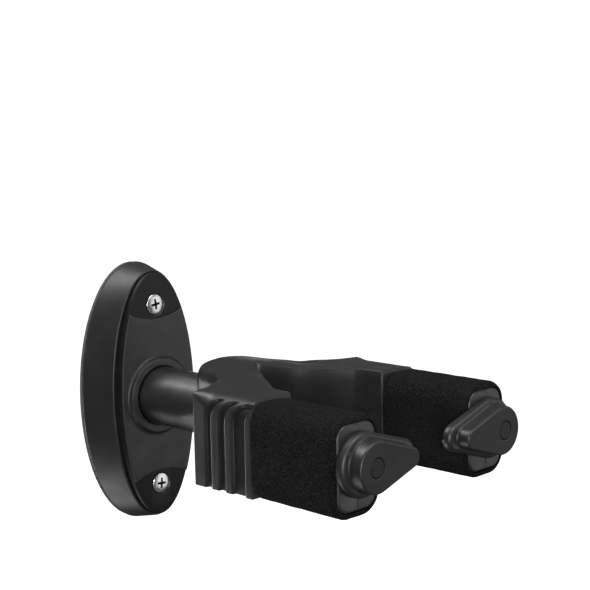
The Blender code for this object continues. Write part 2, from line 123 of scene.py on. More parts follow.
# latches: a wide teardrop base, a smaller teardrop face, and a plug in the middle
BASE_TEAR = (11.8, 5.4, 21.5, 0.0)
FACE_TEAR = (9.5, 3.9, 18.7, 0.8)
TEAR_POINTS = 160
SHAFT_HOLE_R = 3.3
LEVER_SCREW_R = 1.8
PLUG_HOLE_R = 3.8
PLUG_R = 3.5
PLUG_FLOOR = 176.6
SHAFT_SEAT = 175.2

# tube
TUBE_START = 5.1
TUBE_WALL = 2.0


# ---------------------------------------------------------------- camera, light, stage
def make_camera():
    """In front of the hanger and to its left, a little above, and tilted by about a degree."""
    yaw, pitch, roll = (math.radians(a) for a in (44.835, 7.777, -1.18))
    level = math.cos(pitch)
    ahead = Vector((math.sin(yaw) * level, math.cos(yaw) * level, -math.sin(pitch)))
    right = Vector((math.cos(yaw), -math.sin(yaw), 0.0))
    up = right.cross(ahead)
    side = right * math.cos(roll) + up * math.sin(roll)
    head = up * math.cos(roll) - right * math.sin(roll)
    data = bpy.data.cameras.new("camera")
    data.sensor_width = 36.0
    data.lens = 83.58
    data.clip_start = 0.01
    camera = bpy.data.objects.new("camera", data)
    bpy.context.scene.collection.objects.link(camera)
    frame_axes = Matrix((side, head, -ahead)).transposed().to_4x4()
    camera.matrix_world = Matrix.Translation((-0.3779, -0.4849, 0.1250)) @ frame_axes
    bpy.context.scene.camera = camera


def area_light(name, place, target, size, power):
    """White rectangular light at a place, turned to its target; metres and watts."""
    data = bpy.data.lights.new(name, "AREA")
    data.shape = "RECTANGLE"
    data.size, data.size_y = size
    data.energy = power
    light = bpy.data.objects.new(name, data)
    bpy.context.scene.collection.objects.link(light)
    light.location = place
    light.rotation_euler = (Vector(target) - Vector(place)).to_track_quat("-Z", "Y").to_euler()
    light.visible_camera = False


def make_stage():
    """White studio: the sky looks plain white and lights as a dim, softly graded dome."""
    world = bpy.data.worlds.new("studio")
    bpy.context.scene.world = world
    world.use_nodes = True
    tree = world.node_tree
    dome = tree.nodes["Background"]
    coords = add_node(tree, "ShaderNodeTexCoord")
    split = add_node(tree, "ShaderNodeSeparateXYZ")
    tree.links.new(coords.outputs["Generated"], split.inputs["Vector"])
    shade = ramp(tree, split.outputs["Z"], [(0.0, 0.08), (0.5, 0.15), (1.0, 0.22)], True)
    tree.links.new(shade, dome.inputs["Color"])
    backdrop = add_node(tree, "ShaderNodeBackground", Color=(1.0, 1.0, 1.0, 1.0))
    seen = add_node(tree, "ShaderNodeLightPath")
    mix = add_node(tree, "ShaderNodeMixShader")
    tree.links.new(seen.outputs["Is Camera Ray"], mix.inputs["Fac"])
    tree.links.new(dome.outputs["Background"], mix.inputs[1])
    tree.links.new(backdrop.outputs["Background"], mix.inputs[2])
    tree.links.new(mix.outputs["Shader"], tree.nodes["World Output"].inputs["Surface"])
    bpy.context.scene.view_settings.view_transform = "Standard"
    make_lights()
    make_floor()


def make_lights():
    """Soft lights round the hanger; those behind the wall's plane make its long highlights."""
    centre = (0.0, -0.09, 0.0)
    area_light("key_light", (0.05, -0.55, 0.60), centre, (0.5, 0.4), 3.2)
    area_light("top_light", (-0.18, 0.10, 0.66), centre, (0.40, 0.35), 1.8)
    area_light("tube_light", (-0.29, 0.33, 0.64), (0.0, -0.05, 0.0), (0.25, 0.30), 2.1)
    area_light("edge_light", (-0.62, -0.84, 0.12), centre, (0.2, 0.5), 6.0)
    area_light("rib_light", (-0.24, 0.78, -0.31), (-0.05, -0.10, 0.0), (0.08, 0.28), 3.3)
    area_light("front_light", (0.75, -0.85, -0.10), centre, (0.9, 0.9), 2.5)
    area_light("low_light", (-0.20, 0.10, -0.35), (0.0, 0.0, -0.03), (0.3, 0.2), 0.6)
    area_light("back_light", (0.60, 0.50, -0.15), centre, (0.4, 0.4), 1.2)


def make_floor():
    """White floor well below the hanger, so wide that its edge is never seen."""
    reach, drop = 30.0, 0.30
    bm = bmesh.new()
    corners = [(-reach, -reach), (reach, -reach), (reach, reach), (-reach, reach)]
    bm.faces.new([bm.verts.new((x, y, -drop)) for x, y in corners])
    floor = piece("floor", bm, [floor_material()])
    floor.visible_diffuse = False
    floor.visible_glossy = False


# ---------------------------------------------------------------- material building
def new_material(name):
    """A node material with its tree and its Principled shader."""
    mat = bpy.data.materials.new(name)
    mat.use_nodes = True
    tree = mat.node_tree
    shader = tree.nodes["Principled BSDF"]
    return mat, tree, shader


def add_node(tree, kind, **values):
    """A node whose named inputs or settings get the given values."""
    node = tree.nodes.new(kind)
    for key, value in values.items():
        if key in node.inputs:
            node.inputs[key].default_value = value
        else:
            setattr(node, key, value)
    return node


def object_noise(tree, scale, detail=3.0, roughness=0.55):
    """Noise fixed to the object, scale in cycles per metre."""
    coords = add_node(tree, "ShaderNodeTexCoord")
    tex = add_node(tree, "ShaderNodeTexNoise", Scale=scale, Detail=detail, Roughness=roughness)
    tree.links.new(coords.outputs["Object"], tex.inputs["Vector"])
    return tex.outputs["Fac"]


def ramp(tree, source, stops, smooth=False):
    """Colour or grey from a value, by (position, colour) stops."""
    node = add_node(tree, "ShaderNodeValToRGB")
    if smooth:
        node.color_ramp.interpolation = "EASE"
    items = node.color_ramp.elements
    while len(items) < len(stops):
        items.new(0.5)
    for item, (place, colour) in zip(items, stops):
        item.position = place
        if isinstance(colour, float):
            colour = (colour, colour, colour)
        item.color = (*colour, 1.0)
    tree.links.new(source, node.inputs["Fac"])
    return node.outputs["Color"]


def mix_colour(tree, fac, under, over):
    """The linked colour under, with the fixed colour over on it by the factor."""
    node = add_node(tree, "ShaderNodeMix", data_type="RGBA")
    tree.links.new(fac, node.inputs["Factor"])
    tree.links.new(under, node.inputs[6])
    node.inputs[7].default_value = over
    return node.outputs[2]


def bump(tree, shader, height, strength, distance):
    """Fine relief in the shader's normal, distance in metres."""
    node = add_node(tree, "ShaderNodeBump", Strength=strength, Distance=distance)
    tree.links.new(height, node.inputs["Height"])
    tree.links.new(node.outputs["Normal"], shader.inputs["Normal"])


def edge_mask(tree):
    """Light where the surface turns sharply outwards: rubbed edges."""
    geo = add_node(tree, "ShaderNodeNewGeometry")
    return ramp(tree, geo.outputs["Pointiness"], [(0.505, 0.0), (0.56, 1.0)])


def plastic(name, tone, rough, wear=2.2, tint=(1.0, 1.0, 1.03), shine=0.45):
    """Moulded plastic: spark-eroded grain, faint flow patches and rubbed edges."""
    mat, tree, shader = new_material(name)
    low, high, light, rubbed = (tuple(tone * f * c for c in tint) for f in (0.86, 1.14, 1.25, wear))
    patches = ramp(tree, object_noise(tree, 55.0, 4.0), [(0.35, low), (0.65, high)])
    fine = ramp(tree, object_noise(tree, 2400.0, 2.0), [(0.3, 0.0), (0.7, 1.0)])
    speck = mix_colour(tree, fine, patches, light + (1.0,))
    # Rubbed edges come out lighter here, as wear.
    wear_and_shade = mix_colour(tree, edge_mask(tree), speck, rubbed + (1.0,))
    tree.links.new(wear_and_shade, shader.inputs["Base Color"])
    gloss = ramp(tree, object_noise(tree, 120.0, 3.0), [(0.3, rough - 0.05), (0.7, rough + 0.06)])
    tree.links.new(gloss, shader.inputs["Roughness"])
    shader.inputs["Specular IOR Level"].default_value = shine
    bump(tree, shader, object_noise(tree, 2400.0, 2.0), 0.25, 0.00006)
    return mat


def foam_material():
    """Closed foam skin: near black with fine, faint flecks."""
    mat, tree, shader = new_material("foam_cells")
    base = ramp(tree, object_noise(tree, 90.0, 3.0), [(0.3, 0.001), (0.7, 0.003)])
    flecks = ramp(tree, object_noise(tree, 2500.0, 2.5, 0.7), [(0.48, 0.0), (0.66, 1.0)])
    shade = mix_colour(tree, flecks, base, (0.023, 0.023, 0.025, 1.0))
    tree.links.new(shade, shader.inputs["Base Color"])
    rough = ramp(tree, object_noise(tree, 900.0, 2.0), [(0.3, 0.75), (0.7, 0.95)])
    tree.links.new(rough, shader.inputs["Roughness"])
    shader.inputs["Specular IOR Level"].default_value = 0.10
    bump(tree, shader, object_noise(tree, 2200.0, 3.0, 0.7), 0.6, 0.0003)
    return mat


def tube_paint():
    """Black nickel plate under clear lacquer, with faint orange peel."""
    mat, tree, shader = new_material("tube_enamel")
    shader.inputs["Metallic"].default_value = 1.0
    shade = ramp(tree, object_noise(tree, 60.0, 3.0), [(0.3, 0.18), (0.7, 0.22)])
    tree.links.new(shade, shader.inputs["Base Color"])
    rough = ramp(tree, object_noise(tree, 200.0, 3.0), [(0.3, 0.31), (0.7, 0.36)])
    tree.links.new(rough, shader.inputs["Roughness"])
    bump(tree, shader, object_noise(tree, 700.0, 2.0), 0.10, 0.00006)
    return mat


def metal(name, tone, rough):
    """Plated steel with fine scratches and slightly uneven plating."""
    mat, tree, shader = new_material(name)
    shader.inputs["Metallic"].default_value = 1.0
    low = (tone * 0.88, tone * 0.88, tone * 0.86)
    high = (tone, tone, tone * 0.99)
    patches = ramp(tree, object_noise(tree, 300.0, 4.0), [(0.35, low), (0.65, high)])
    tree.links.new(patches, shader.inputs["Base Color"])
    gloss = ramp(tree, object_noise(tree, 900.0, 4.0), [(0.3, rough - 0.06), (0.7, rough + 0.08)])
    tree.links.new(gloss, shader.inputs["Roughness"])
    bump(tree, shader, object_noise(tree, 3000.0, 2.0), 0.35, 0.00003)
    return mat


def rubber_material():
    """Matt grey pad rubber with a fine, dusty grain."""
    mat, tree, shader = new_material("pad_rubber")
    shade = ramp(tree, object_noise(tree, 90.0, 3.0), [(0.3, 0.070), (0.7, 0.095)])
    tree.links.new(shade, shader.inputs["Base Color"])
    rough = ramp(tree, object_noise(tree, 500.0, 3.0), [(0.3, 0.7), (0.7, 0.85)])
    tree.links.new(rough, shader.inputs["Roughness"])
    bump(tree, shader, object_noise(tree, 1600.0, 2.0), 0.3, 0.0001)
    return mat


def floor_material():
    """Near white paint that glows enough to run into the white sky."""
    mat, tree, shader = new_material("floor_paint")
    shade = ramp(tree, object_noise(tree, 3.0, 2.0), [(0.3, 0.90), (0.7, 0.92)])
    tree.links.new(shade, shader.inputs["Base Color"])
    shader.inputs["Roughness"].default_value = 0.8
    shader.inputs["Emission Color"].default_value = (1.0, 1.0, 1.0, 1.0)
    shader.inputs["Emission Strength"].default_value = 0.95
    return mat


# ---------------------------------------------------------------- mesh building
def point(x, out, z):
    """A place in metres from millimetres across, out from the wall and up."""
    return Vector((x * MM, -out * MM, z * MM))


def piece(name, bm, materials, sharp=32.0):
    """An object from the mesh in bm, smooth but for edges sharper than the angle in degrees."""
    bmesh.ops.remove_doubles(bm, verts=bm.verts, dist=1e-7)
    bmesh.ops.recalc_face_normals(bm, faces=bm.faces)
    mesh = bpy.data.meshes.new(name)
    bm.to_mesh(mesh)
    bm.free()
    for mat in materials:
        mesh.materials.append(mat)
    mesh.shade_smooth()
    mesh.set_sharp_from_angle(angle=math.radians(sharp))
    obj = bpy.data.objects.new(name, mesh)
    bpy.context.scene.collection.objects.link(obj)
    return obj


def cut(obj, bm, sharp=32.0):
    """Take the closed mesh in bm away from obj and keep the result as plain mesh."""
    tool = piece(obj.name + "_tool", bm, [])
    mod = obj.modifiers.new("cut", "BOOLEAN")
    mod.operation = "DIFFERENCE"
    mod.solver = "EXACT"
    mod.object = tool
    bpy.context.view_layer.update()
    state = bpy.context.evaluated_depsgraph_get()
    solid = bpy.data.meshes.new_from_object(obj.evaluated_get(state))
    obj.modifiers.clear()
    old = obj.data
    obj.data = solid
    bpy.data.meshes.remove(old)
    bpy.data.objects.remove(tool, do_unlink=True)
    solid.shade_smooth()
    solid.set_sharp_from_angle(angle=math.radians(sharp))


def walls(bm, rings, closed=False):
    """Faces between stacked outlines, and on to the first if closed; returns the vertex loops."""
    loops = [[bm.verts.new(p) for p in ring] for ring in rings]
    n = len(loops[0])
    following = loops[1:] + loops[:1] if closed else loops[1:]
    for low, high in zip(loops, following):
        for i in range(n):
            j = (i + 1) % n
            bm.faces.new((low[i], low[j], high[j], high[i]))
    return loops


def skin(bm, rings, closed):
    """A whole body through the outlines: closed on itself, or with a flat face at each end."""
    loops = walls(bm, rings, closed)
    if not closed:
        bm.faces.new(loops[0])
        bm.faces.new(list(reversed(loops[-1])))


def oval(hw, hh, out, x=0.0, z=0.0, n=96):
    """Upright ellipse by its half width and half height."""
    ring = []
    for i in range(n):
        a = 2.0 * math.pi * i / n
        ring.append(point(x + hw * math.cos(a), out, z + hh * math.sin(a)))
    return ring


def round_body(steps, x, z, n, closed=False):
    """Mesh turned round an axis that stands out from the wall, from (radius, out) steps."""
    bm = bmesh.new()
    skin(bm, [oval(r, r, out, x, z, n) for r, out in steps], closed)
    return bm


def arc(cx, cy, r, start, end, steps=5):
    """Points on a circular arc, angles in degrees, both ends included."""
    pts = []
    for i in range(steps + 1):
        a = math.radians(start + (end - start) * i / steps)
        pts.append((cx + r * math.cos(a), cy + r * math.sin(a)))
    return pts


# ---------------------------------------------------------------- wall plate
def panel_radius(angle):
    """Distance from the centre to the edge of the raised panel, with its two screw bays."""
    c, s = math.cos(angle), math.sin(angle)
    reach = 1.0 / math.sqrt((c / FACE_HW) ** 2 + (s / FACE_HH) ** 2)
    mid = abs(s) * POCKET_Z
    spare = mid * mid - POCKET_Z ** 2 + POCKET_R ** 2
    if spare > 0.0:
        reach = min(reach, mid - math.sqrt(spare))
    return reach


def plate_shell(grey, dark):
    """Drafted oval cover with a groove round the panel's bed, hollow at the back."""
    levels = [(29.8, 58.3, 1.8), (30.1, 58.5, 2.2), (30.15, 58.55, 2.6), (29.9, 58.45, 3.2)]
    for hw, out in arc(22.6, 14.2, 0.7, 24.0, 84.0, 6):
        levels.append((hw, hw + 32.5, out))
    levels += [(22.4, 54.95, 14.86), (22.2, 54.9, 14.7), (22.1, 54.85, 14.3), (21.9, 54.8, 13.9)]
    levels += [(21.4, 54.7, 13.9), (21.1, 54.65, 14.3), (20.6, 54.6, POCKET_OUT - 0.5)]
    levels += [(20.45, 54.55, POCKET_OUT - 0.12), (20.1, 54.3, POCKET_OUT)]
    bm = bmesh.new()
    rings = [oval(hw, hh, out, n=192) for hw, hh, out in levels]
    inner = [(15.0, 15.0, POCKET_OUT), (SHELL_BORE_R, SHELL_BORE_R, POCKET_OUT)]
    inner += [(SHELL_BORE_R, SHELL_BORE_R, 13.0), (21.0, 51.6, 11.5), (26.6, 55.8, 1.8)]
    rings += [oval(hw, hh, out, n=192) for hw, hh, out in inner]
    skin(bm, rings, True)
    # The groove round the panel's bed takes the dark plastic as painted shade; the screw bays'
    # floors take it too and come out darker than the panel.
    for face in bm.faces:
        spot = face.calc_center_median() / MM
        floor = abs(spot.y + POCKET_OUT) < 0.05 and abs(spot.z) > 16.0
        step = -POCKET_OUT < spot.y < -13.6 and (spot.x / 22.3) ** 2 + (spot.z / 54.93) ** 2 < 1.0
        if floor or step:
            face.material_index = 1
    shell = piece("plate_shell", bm, [grey, dark])
    for side in (1.0, -1.0):
        steps = [(SCREW_HOLE_R, 0.5), (SCREW_HOLE_R, 14.4), (SCREW_SEAT_R, 15.6)]
        steps += [(SCREW_SEAT_R, POCKET_OUT - 0.35), (5.35, POCKET_OUT + 0.02), (5.6, 19.0)]
        cut(shell, round_body(steps, 0.0, side * SCREW_Z, 64))
    return shell


def plate_panel(grey, dark):
    """Raised panel with rounded rim, screw bays at both ends, and the collar round the tube."""
    n = 480
    bm = bmesh.new()
    rings = []

    def ring(inset, out, blend=0.0):
        loop = []
        for i in range(n):
            a = 2.0 * math.pi * i / n
            r = (panel_radius(a) - inset) * (1.0 - blend) + COLLAR_FOOT_R * blend
            loop.append(point(r * math.cos(a), out, r * math.sin(a)))
        rings.append(loop)

    def circle(r, out):
        rings.append(oval(r, r, out, n=n))

    ring(0.0, PANEL_BACK)
    ring(0.0, FACE_OUT - 0.5)
    for r, out in arc(0.5, FACE_OUT - 0.5, 0.5, 180.0, 90.0, 4):
        ring(r, out)
    for blend in (0.25, 0.5, 0.75):
        ring(0.5, FACE_OUT, blend)
    circle(COLLAR_FOOT_R, FACE_OUT)
    for r, out in arc(18.3, FACE_OUT + 1.5, 1.5, 266.0, 200.0, 8):
        circle(r, out)
    for r, out in arc(16.0, COLLAR_OUT - 0.6, 0.6, 10.0, 84.0, 6):
        circle(r, out)
    circle(14.5, COLLAR_OUT)
    circle(13.5, COLLAR_OUT - 0.2)
    circle(PANEL_BORE_R, COLLAR_OUT - 0.7)
    circle(PANEL_BORE_R, PANEL_BACK)
    skin(bm, rings, True)
    # The panel's side wall takes the dark plastic as painted shade.
    for face in bm.faces:
        spot = face.calc_center_median() / MM
        if -FACE_OUT + 0.45 < spot.y and math.hypot(spot.x, spot.z) > 18.0:
            face.material_index = 1
    return piece("plate_panel", bm, [grey, dark])


def cross_recess(x, z, top, depth, turn):
    """Tapered four-armed socket."""
    bm = bmesh.new()
    rings = []
    levels = [(top - depth, 0.9, 0.30), (top - depth * 0.5, 1.9, 0.42), (top + 0.6, 2.75, 0.52)]
    for out, reach, half in levels:
        ring = []
        for k in range(4):
            a = turn + k * math.pi / 2.0
            u = Vector((math.cos(a), math.sin(a)))
            v = Vector((-u.y, u.x))
            for p in (u * reach - v * half, u * reach + v * half, u * half * 1.25 + v * half * 1.25):
                ring.append(point(x + p.x, out, z + p.y))
        rings.append(ring)
    skin(bm, rings, False)
    return bm


def wall_screw(name, node, side, steel, dark, turn):
    """Countersunk screw with a slightly domed head; the faces inside its recess are painted dark, as
    shade.
    """
    z = side * SCREW_Z
    steps = [(0.6, 0.3), (SHANK_R, 2.4), (SHANK_R, 14.6), (2.2, 15.0), (4.35, 16.3)]
    steps += [(HEAD_R, 16.55), (HEAD_R, HEAD_RIM)]
    steps += arc(HEAD_R - 0.4, HEAD_RIM, 0.4, 0.0, 80.0, 4)
    steps += [(3.0, 17.45), (1.6, 17.62), (0.4, 17.66)]
    screw = piece(name, round_body(steps, 0.0, z, 72), [steel])
    cut(screw, cross_recess(0.0, z, HEAD_TOP, RECESS_DEPTH, turn))
    # Painted shade: the faces inside the cross recess take the dark plastic.
    screw.data.materials.append(dark)
    floor = HEAD_TOP - RECESS_DEPTH - 0.2
    for face in screw.data.polygons:
        reach = math.hypot(face.center.x / MM, face.center.z / MM - z)
        dome = HEAD_TOP - 0.025 * reach * reach - 0.1
        if reach < RECESS_REACH and floor < -face.center.y / MM < dome:
            face.material_index = 1
    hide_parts(node)
    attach(screw, "wall_mount")


# ---------------------------------------------------------------- yoke
def smooth_path(points, per):
    """Catmull-Rom curve through the points, with per steps between each two."""
    out = []
    last = len(points) - 1
    for i in range(last):
        p0 = Vector(points[max(i - 1, 0)])
        p1 = Vector(points[i])
        p2 = Vector(points[i + 1])
        p3 = Vector(points[min(i + 2, last)])
        for k in range(per):
            t = k / per
            q = 2.0 * p1 + (p2 - p0) * t
            q += (2.0 * p0 - 5.0 * p1 + 4.0 * p2 - p3) * t * t
            q += (3.0 * p1 - p0 - 3.0 * p2 + p3) * t * t * t
            out.append((0.5 * q.x, 0.5 * q.y))
    out.append(tuple(points[-1]))
    return out


def straight(a, b, step):
    """Points from a to b, about a step apart."""
    n = max(1, int(math.dist(a, b) / step))
    return [(a[0] + (b[0] - a[0]) * i / n, a[1] + (b[1] - a[1]) * i / n) for i in range(n + 1)]


def yoke_outline():
    """Plan of the Y-shaped yoke, finely divided; the ribbed sides have the closest points."""
    neck = [(10.0, 60.0), (14.5, 61.2), (16.8, 64.5), (18.3, 70.0), (20.6, 76.5), (25.0, 84.0)]
    neck += [(30.8, 90.3), (37.5, 93.9), (43.0, 95.1)]
    half = straight((0.0, 59.6), (9.4, 59.9), 1.2) + smooth_path(neck, 7)
    half += arc(YOKE_SIDE - 0.9, SIDE_START + 0.9, 0.9, -90.0, 0.0, 6)
    half += straight((YOKE_SIDE, SIDE_START + 1.1), (YOKE_SIDE, YOKE_FRONT - 0.8), 0.2)
    half += arc(YOKE_SIDE - 0.7, YOKE_FRONT - 0.7, 0.7, 10.0, 90.0, 4)
    half += straight((YOKE_SIDE - 2.0, YOKE_FRONT), (26.4, YOKE_FRONT), 1.5)
    half += arc(26.2, YOKE_FRONT - 1.0, 1.0, 100.0, 180.0, 4)
    half += straight((25.15, YOKE_FRONT - 1.6), (24.8, 119.5), 1.0)
    half += smooth_path([(23.0, 115.5), (17.5, 107.8), (12.3, 99.8), (8.0, 94.0), (4.0, 87.4)], 7)
    half += [(2.5, 84.9), (1.2, 82.9), (0.6, 82.1), (0.0, CROTCH)]
    other = [(-x, out) for x, out in reversed(half[1:-1])]
    return half + other


def inset_outline(outline, inset):
    """The outline moved inwards by inset at every point."""
    n = len(outline)
    moved = []
    for i in range(n):
        a = Vector(outline[i]) - Vector(outline[i - 1])
        b = Vector(outline[(i + 1) % n]) - Vector(outline[i])
        a.normalize()
        b.normalize()
        m = Vector((-a.y - b.y, a.x + b.x)).normalized()
        reach = inset / max(m.dot(Vector((-a.y, a.x))), 0.5)
        moved.append((outline[i][0] + m.x * reach, outline[i][1] + m.y * reach))
    return moved


def ease(t):
    """Smooth step from 0 to 1."""
    t = min(max(t, 0.0), 1.0)
    return t * t * (3.0 - 2.0 * t)


def groove_depth(out, run):
    """Depth of the side grooves at a distance run up the side and over its rounded shoulder.

    The grooves stand upright, then curve forward over the shoulder and fade out there.
    """
    climb = min(max(0.0, (run - UPRIGHT) / 10.0), 0.999)
    level = out - 10.0 * (1.0 - math.sqrt(1.0 - climb * climb))
    deep = 0.0
    for near, far in GROOVES:
        deep = max(deep, min(ease((level - near) / 0.6), ease((far - level) / 1.9)))
    return GROOVE_DEPTH * deep * ease((GROOVE_END - run) / 1.8)


def shoulder(x, out):
    """Radius of the rounding between side and top: larger along the ribbed side."""
    side = SIDE_EDGE_R + (SHOULDER - SIDE_EDGE_R) * ease((out - SIDE_START) / 10.0)
    return NECK_EDGE_R + (side - NECK_EDGE_R) * ease((abs(x) - 40.0) / 6.0)


def swell(x, out):
    """Height of the top above its flat level: a barrel over the neck, a dimple on each side."""
    barrel = 1.7 * math.exp(-((x / 13.0) ** 2)) * (1.0 - ease((out - 78.0) / 16.0))
    dent = math.exp(-(((abs(x) - 21.0) / 3.6) ** 2 + ((out - 87.0) / 5.0) ** 2))
    return 0.5 * (1.0 - (x / 47.0) ** 2) + barrel - 0.9 * dent


def curved_in(outline, fall):
    """The outline where the top edge has curved in by the fraction fall of its radius."""
    pts = []
    for (x0, out0), (x, out) in zip(outline, inset_outline(outline, 0.8 * fall)):
        x *= 1.0 - 0.24 * fall * ease((90.0 - out0) / 22.0)
        limit = YOKE_SIDE - shoulder(x0, out0) * fall
        pts.append((min(max(x, -limit), limit), out))
    return pts


def yoke_loops(outline):
    """Stacked outlines of the yoke from its foot to the rim of its top."""
    loops = []
    for z, inset in ((YOKE_BOT, 0.4), (YOKE_BOT + 0.15, 0.12), (YOKE_BOT + 0.4, 0.0)):
        loops.append([(x, out, z) for x, out in inset_outline(outline, inset)])
    foot = YOKE_BOT + 0.4
    upright = [foot + (UPRIGHT - foot) * i / 5 for i in range(1, 6)]
    for z in upright:
        loops.append([(x, out, z) for x, out in outline])
    for step in range(1, 9):
        loop = []
        for x, out in outline:
            top = YOKE_TOP - shoulder(x, out)
            loop.append((x, out, UPRIGHT + (top - UPRIGHT) * step / 8))
        loops.append(loop)
    rim = curved_in(outline, 1.0)
    for step in range(1, ROUND_STEPS + 1):
        angle = math.radians(90.0 * step / ROUND_STEPS)
        curved = curved_in(outline, 1.0 - math.cos(angle))
        loop = []
        for (x0, out0), (xr, outr), (x, out) in zip(outline, rim, curved):
            r = shoulder(x0, out0)
            loop.append((x, out, YOKE_TOP - r + (r + swell(xr, outr)) * math.sin(angle)))
        loops.append(loop)
    return loops


def ribbed(outline, loops):
    """Sink the side grooves into the stacked outlines."""
    made = []
    flat = len(loops) - ROUND_STEPS
    for k, loop in enumerate(loops):
        angle = math.radians(90.0 / ROUND_STEPS * max(0, k - flat + 1))
        pts = []
        for (x0, out0), (x, out, z) in zip(outline, loop):
            if abs(x0) > YOKE_SIDE - 0.5:
                r = shoulder(x0, out0)
                run = z if k < flat else YOKE_TOP - r + r * angle
                deep = groove_depth(out0, run)
                x -= math.copysign(deep * math.cos(angle), x)
                z -= deep * math.sin(angle)
            pts.append(point(x, out, z))
        made.append(pts)
    return made


def lid(bm, loop):
    """Triangles over a flat loop of vertices that may bend inwards."""
    flat = [Vector((v.co.x / MM, -v.co.y / MM)) for v in loop]
    links = [(i, (i + 1) % len(loop)) for i in range(len(loop))]
    _, _, faces, origin, _, _ = geometry.delaunay_2d_cdt(flat, links, [], 1, 1e-6)
    for face in faces:
        bm.faces.new([loop[origin[i][0]] for i in face])


def inside(spot, loop):
    """Whether a flat point lies within the loop."""
    hit = False
    for a, b in zip(loop, loop[1:] + loop[:1]):
        if (a.y > spot.y) != (b.y > spot.y):
            if spot.x < a.x + (spot.y - a.y) * (b.x - a.x) / (b.y - a.y):
                hit = not hit
    return hit


def yoke_shell(grey):
    """The whole yoke before it is hollowed; its top is a net of points every 2 x 2 mm."""
    outline = yoke_outline()
    bm = bmesh.new()
    loops = walls(bm, ribbed(outline, yoke_loops(outline)))
    n = len(outline)
    lid(bm, loops[0])
    top = loops[-1]
    edge = [Vector((v.co.x / MM, -v.co.y / MM)) for v in top]
    inner = []
    for i in range(-23, 24):
        for j in range(60, 128, 2):
            spot = Vector((i * 2.0, float(j)))
            near = min((spot - e).length for e in edge)
            if near > 0.9 and inside(spot, edge):
                inner.append(spot)
    links = [(i, (i + 1) % n) for i in range(n)]
    coords, _, faces, origin, _, _ = geometry.delaunay_2d_cdt(edge + inner, links, [], 1, 1e-6)
    made = []
    for spot, was in zip(coords, origin):
        if was and was[0] < n:
            made.append(top[was[0]])
        else:
            made.append(bm.verts.new(point(spot.x, spot.y, YOKE_TOP + swell(spot.x, spot.y))))
    for face in faces:
        bm.faces.new([made[i] for i in face])
    return piece("yoke_shell", bm, [grey], YOKE_SHARP)


def yoke(grey):
    """The yoke, hollowed from below, with an arched notch for the tube's end."""
    shell = yoke_shell(grey)
    outline = yoke_outline()
    below = YOKE_BOT - 4.0
    hollow = []
    for x, out in inset_outline(outline, SHELL_WALL):
        if min(math.hypot(x - a, out - b) for a, b in outline) > SHELL_WALL - 0.06:
            hollow.append((min(max(x, -HOLLOW_SIDE), HOLLOW_SIDE), out))
    bm = bmesh.new()
    loops = walls(bm, [[point(x, out, z) for x, out in hollow] for z in (below, YOKE_TOP - 3.0)])
    lid(bm, loops[0])
    lid(bm, loops[-1])
    cut(shell, bm, YOKE_SHARP)
    bm = bmesh.new()
    ring = arc(0.0, 0.0, NOTCH_R, 0.0, 180.0, 32) + [(-NOTCH_R, below), (NOTCH_R, below)]
    skin(bm, [[point(x, out, z) for x, z in ring] for out in NOTCH], False)
    cut(shell, bm, YOKE_SHARP)
    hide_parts("yoke_body")
    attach(shell, "yoke")


# ---------------------------------------------------------------- arms
def round_box(hw, hh, r, out, x, z, n, wobble=0.0):
    """Rounded rectangle divided evenly along its length, uneven by wobble millimetres."""
    straight_w, straight_h = hw - r, hh - r
    quarter = math.pi * r / 2.0
    total = 4.0 * (straight_w + straight_h + quarter)
    ring = []
    for i in range(n):
        s = total * i / n
        px, pz = box_point(s, straight_w, straight_h, r, quarter)
        p = point(x + px, out, z + pz)
        if wobble:
            lean = noise.noise(p * 260.0) * wobble
            away = Vector((px, 0.0, pz)).normalized()
            p += away * lean * MM
        ring.append(p)
    return ring


def box_point(s, w, h, r, quarter):
    """Place at the distance s round a box with straight half sides w and h and corners r."""
    for k in range(4):
        before, after = ((h, w), (w, h))[k % 2]
        cx = (w, -w, -w, w)[k]
        cz = (h, h, -h, -h)[k]
        if s <= before:
            return ((w + r, s), (-s, h + r), (-w - r, -s), (s, -h - r))[k]
        s -= before
        if s <= quarter:
            a = math.radians(90.0 * k + 90.0 * s / quarter)
            return cx + r * math.cos(a), cz + r * math.sin(a)
        s -= quarter
        if s <= after:
            t = after - s
            return ((t, h + r), (-w - r, t), (-t, -h - r), (w + r, -t))[k]
        s -= after
    return w + r, 0.0


def foam_sleeve(label, side, foam):
    """Foam round the arm's core, with soft ends and a slightly uneven skin."""
    x = side * ARM_X
    n = 150
    bm = bmesh.new()
    rings = []
    first = FOAM_START + 1.7
    span = ARM_END - 1.8 - first
    profile = [(1.6, FOAM_START), (0.7, FOAM_START + 0.35), (0.2, FOAM_START + 0.9), (0.0, first)]
    for i in range(1, 50):
        profile.append((0.0, first + span * i / 49))
    profile += [(0.15, ARM_END - 1.1), (0.5, ARM_END - 0.5), (1.0, ARM_END - 0.12), (1.5, ARM_END)]
    for inset, out in profile:
        hw, hh, r = FOAM_HW - inset, FOAM_HH - inset, FOAM_R - inset
        rings.append(round_box(hw, hh, r, out, x, ARM_Z, n, 0.12))
    hw, hh = CORE_HW + CORE_GAP, CORE_HH + CORE_GAP
    for out in (ARM_END, ARM_END - 1.0, FOAM_START):
        rings.append(round_box(hw, hh, 5.6, out, x, ARM_Z, n))
    skin(bm, rings, True)
    sleeve = piece("foam_grip_" + label, bm, [foam], 60.0)
    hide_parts("foam_sleeve_" + label)
    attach(sleeve, "yoke")


